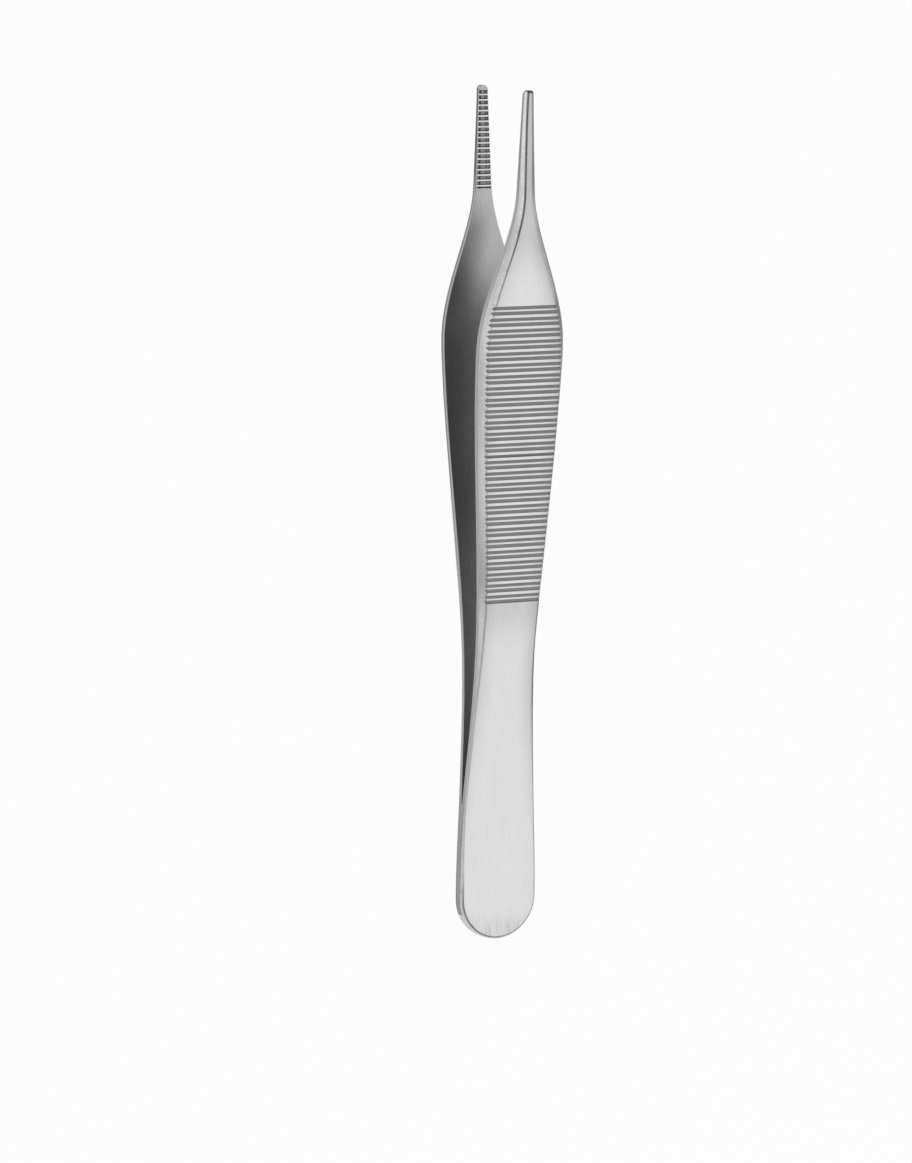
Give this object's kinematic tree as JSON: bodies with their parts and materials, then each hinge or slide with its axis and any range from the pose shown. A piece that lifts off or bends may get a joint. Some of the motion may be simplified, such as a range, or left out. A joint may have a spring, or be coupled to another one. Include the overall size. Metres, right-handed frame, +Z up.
{
  "type": "thumb forceps",
  "caption": "Satin steel thumb forceps: sprung blades joined at a rounded heel, with broad cross-ribbed grips and slim straight jaws with cross teeth.",
  "frame": {"origin": "on the surface that the forceps lies on, midway along its length and its width", "axes": "+X across the blades, +Y from the heel to the tips, +Z up, from the lower blade to the upper one"},
  "size_m": [0.0132, 0.1202, 0.0171],
  "materials": {
    "satin_steel": "satin, brushed along the length"
  },
  "bodies": {
    "root": {"upper_blade": "satin_steel", "lower_blade": "satin_steel"}
  },
  "joints": []
}
